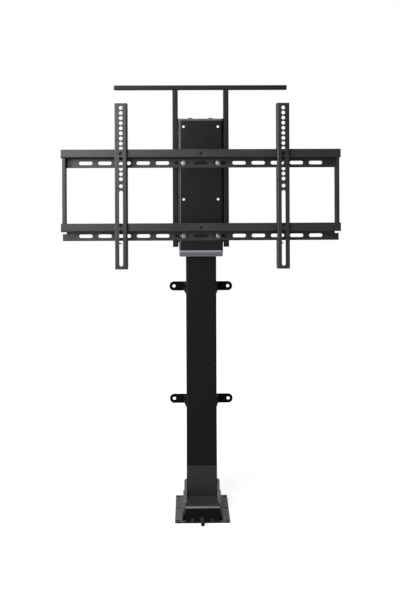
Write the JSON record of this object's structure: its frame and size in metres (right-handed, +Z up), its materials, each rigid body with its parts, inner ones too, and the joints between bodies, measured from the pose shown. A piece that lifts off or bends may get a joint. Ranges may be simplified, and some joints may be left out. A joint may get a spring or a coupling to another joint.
{
  "type": "tv lift mechanism",
  "caption": "Floor-standing motorised screen lift: telescopic column on a base plate, folded carriage with slotted rails, two hook-on screen arms and a lid bar above.",
  "frame": {"origin": "point on the floor under the column's axis, on the base plate's underside", "axes": "+Z up along the column, +X to the right seen from the screen side, +Y to the wall behind"},
  "size_m": [0.72, 0.2255, 1.1178],
  "materials": {
    "powder_grey": "fine-textured dark grey powder coat",
    "column_paint": "satin near-black powder coat",
    "powder_black": "fine-textured charcoal powder coat",
    "black_plastic": "moulded black plastic",
    "black_steel": "black oxide screws",
    "bright_steel": "nickel plated or turned steel",
    "brass": "machined bronze and brass",
    "glide_plastic": "natural glide plastic",
    "board_green": "circuit board",
    "collar_grey": "satin grey moulding"
  },
  "bodies": {
    "base_body": {"base_plate": "powder_grey", "left_gusset": "powder_grey", "right_gusset": "powder_grey", "front_brace": "column_paint", "gear_case": "black_plastic", "case_screws": "bright_steel", "cable_gland": "black_plastic", "outer_column": "column_paint", "column_guide": "black_plastic", "upper_left_ear": "column_paint", "upper_right_ear": "column_paint", "lower_left_ear": "column_paint", "lower_right_ear": "column_paint", "ear_screws": "black_steel", "drive_motor": "bright_steel", "sensor_board": "board_green", "motor_bracket": "powder_grey", "gear_frame": "powder_grey", "screw_bearing": "bright_steel", "bearing_bridge": "powder_grey"},
    "screw_body": {"lead_screw": "bright_steel", "worm_wheel": "brass"},
    "worm_body": {"worm_shaft": "bright_steel"},
    "lift_body": {"inner_column": "column_paint", "glide_shoe": "glide_plastic", "nut_plate": "powder_grey", "drive_nut": "brass", "head_block": "powder_grey", "cap_plate": "powder_black", "cap_bolts": "bright_steel", "carriage": "powder_black", "collar": "collar_grey", "upper_rail": "powder_black", "lower_rail": "powder_black", "left_end_bar": "powder_black", "right_end_bar": "powder_black", "rail_bolts": "bright_steel", "rail_nuts": "bright_steel", "left_upper_clamp": "powder_black", "left_lower_clamp": "powder_black", "right_upper_clamp": "powder_black", "right_lower_clamp": "powder_black", "clamp_screws": "black_steel"},
    "lid_body": {"lid_bar": "powder_black", "left_post": "powder_black", "right_post": "powder_black", "post_caps": "black_plastic", "bar_caps": "black_plastic"},
    "left_arm_body": {"left_arm": "powder_black", "left_latch": "powder_black", "left_lock_screw": "black_steel"},
    "right_arm_body": {"right_arm": "powder_black", "right_latch": "powder_black", "right_lock_screw": "black_steel"}
  },
  "joints": [
    {"name": "lift_slide", "type": "slide", "parent": "base_body", "child": "lift_body", "axis": [0, 0, 1], "range_m": [-0.31, 0.2]},
    {"name": "screw_spin", "type": "hinge", "parent": "base_body", "child": "screw_body", "pos_m": [0, 0, 0.017], "axis": [0, 0, 1], "continuous": true},
    {"name": "worm_spin", "type": "hinge", "parent": "base_body", "child": "worm_body", "pos_m": [0.0175, 0, 0.017], "axis": [0, 1, 0], "continuous": true},
    {"name": "lid_bar_slide", "type": "slide", "parent": "lift_body", "child": "lid_body", "axis": [0, 0, 1], "range_m": [-0.06, 0.045]},
    {"name": "left_arm_slide", "type": "slide", "parent": "lift_body", "child": "left_arm_body", "axis": [1, 0, 0], "range_m": [-0.0952, 0.1048]},
    {"name": "right_arm_slide", "type": "slide", "parent": "lift_body", "child": "right_arm_body", "axis": [1, 0, 0], "range_m": [-0.111, 0.089]}
  ],
  "couplings": [
    {"joint": "screw_spin", "follows": "lift_slide", "rad_per_m": -314.16},
    {"joint": "worm_spin", "follows": "lift_slide", "rad_per_m": 3141.6}
  ]
}
